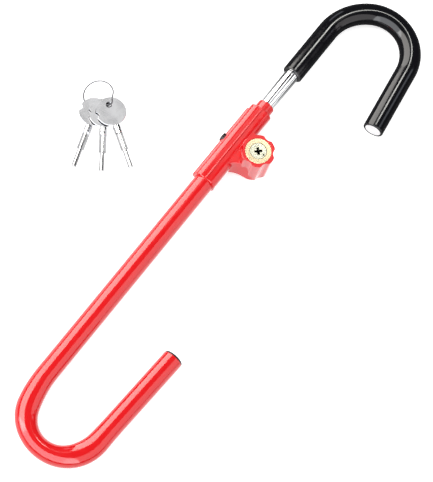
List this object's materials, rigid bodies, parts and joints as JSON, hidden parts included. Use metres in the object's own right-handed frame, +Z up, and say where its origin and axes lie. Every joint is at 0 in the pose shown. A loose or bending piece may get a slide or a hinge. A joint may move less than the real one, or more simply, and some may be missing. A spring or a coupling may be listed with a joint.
{
  "type": "steering wheel lock",
  "caption": "Telescopic double-hook lock that joins a steering wheel to a pedal: red tube hook, chrome slide rod with black sleeved hook, side lock boss, cross keys on a ring.",
  "frame": {"origin": "on the housing's flat underside, below the slide rod's axis and in line with the locking bolt", "axes": "+X along the slide rod towards the wheel hook, +Z up out of the lock face, both hooks and the lock boss reach towards -Y"},
  "size_m": [0.6258, 0.2764, 0.0412],
  "materials": {
    "red_casting": "gloss",
    "red_tube": "gloss",
    "black_plastic": "satin",
    "steel": "satin",
    "bronze": "satin",
    "dark_steel": "satin",
    "brass": "satin",
    "spring_steel": "satin",
    "chrome": "polished",
    "black_sleeve": "gloss",
    "end_cap": "satin",
    "plug_nickel": "satin",
    "ring_wire": "polished",
    "key_nickel": "satin"
  },
  "bodies": {
    "housing": {"lock_housing": "red_casting", "pedal_hook_tube": "red_tube", "tube_end_plug": "black_plastic", "tube_pins": "steel", "rod_guide_bush": "bronze", "cross_bore_plug": "dark_steel", "rear_cover": "red_casting", "rear_cover_screws": "steel", "cylinder_body": "brass", "cylinder_retaining_pin": "steel", "driver_pins": "brass", "pin_springs": "spring_steel"},
    "rod": {"slide_rod": "chrome", "rod_tail_bush": "steel", "rod_tail_pin": "steel", "wheel_hook_sleeve": "black_sleeve", "rod_end_cap": "end_cap"},
    "plug": {"lock_plug": "plug_nickel", "plug_clip": "spring_steel", "plug_cam": "steel", "key_pins": "brass"},
    "bolt": {"locking_bolt": "steel"},
    "key_ring": {"key_ring": "ring_wire", "key_middle": "key_nickel"},
    "key_left": {"key_left": "key_nickel"},
    "key_right": {"key_right": "key_nickel"}
  },
  "joints": [
    {"name": "rod_slide", "type": "slide", "parent": "housing", "child": "rod", "axis": [1, 0, 0], "range_m": [-0.036, 0.18]},
    {"name": "plug_turn", "type": "hinge", "parent": "housing", "child": "plug", "pos_m": [0, -0.0263, 0], "axis": [0, 0, 1], "range_deg": [0, 90]},
    {"name": "bolt_slide", "type": "slide", "parent": "housing", "child": "bolt", "axis": [0, 1, 0], "range_m": [0, 0.00425]},
    {"name": "key_ring_lift", "type": "slide", "parent": "housing", "child": "key_ring", "axis": [0, 0, 1], "range_m": [0, 0.05]},
    {"name": "key_left_swing", "type": "hinge", "parent": "key_ring", "child": "key_left", "pos_m": [-0.0536, 0.1394, 0], "axis": [0, 0, 1], "range_deg": [-25, 0]},
    {"name": "key_right_swing", "type": "hinge", "parent": "key_ring", "child": "key_right", "pos_m": [-0.0476, 0.1289, 0], "axis": [0, 0, 1], "range_deg": [0, 25]}
  ],
  "couplings": [
    {"joint": "bolt_slide", "follows": "plug_turn", "m_per_rad": 0.0027009}
  ]
}
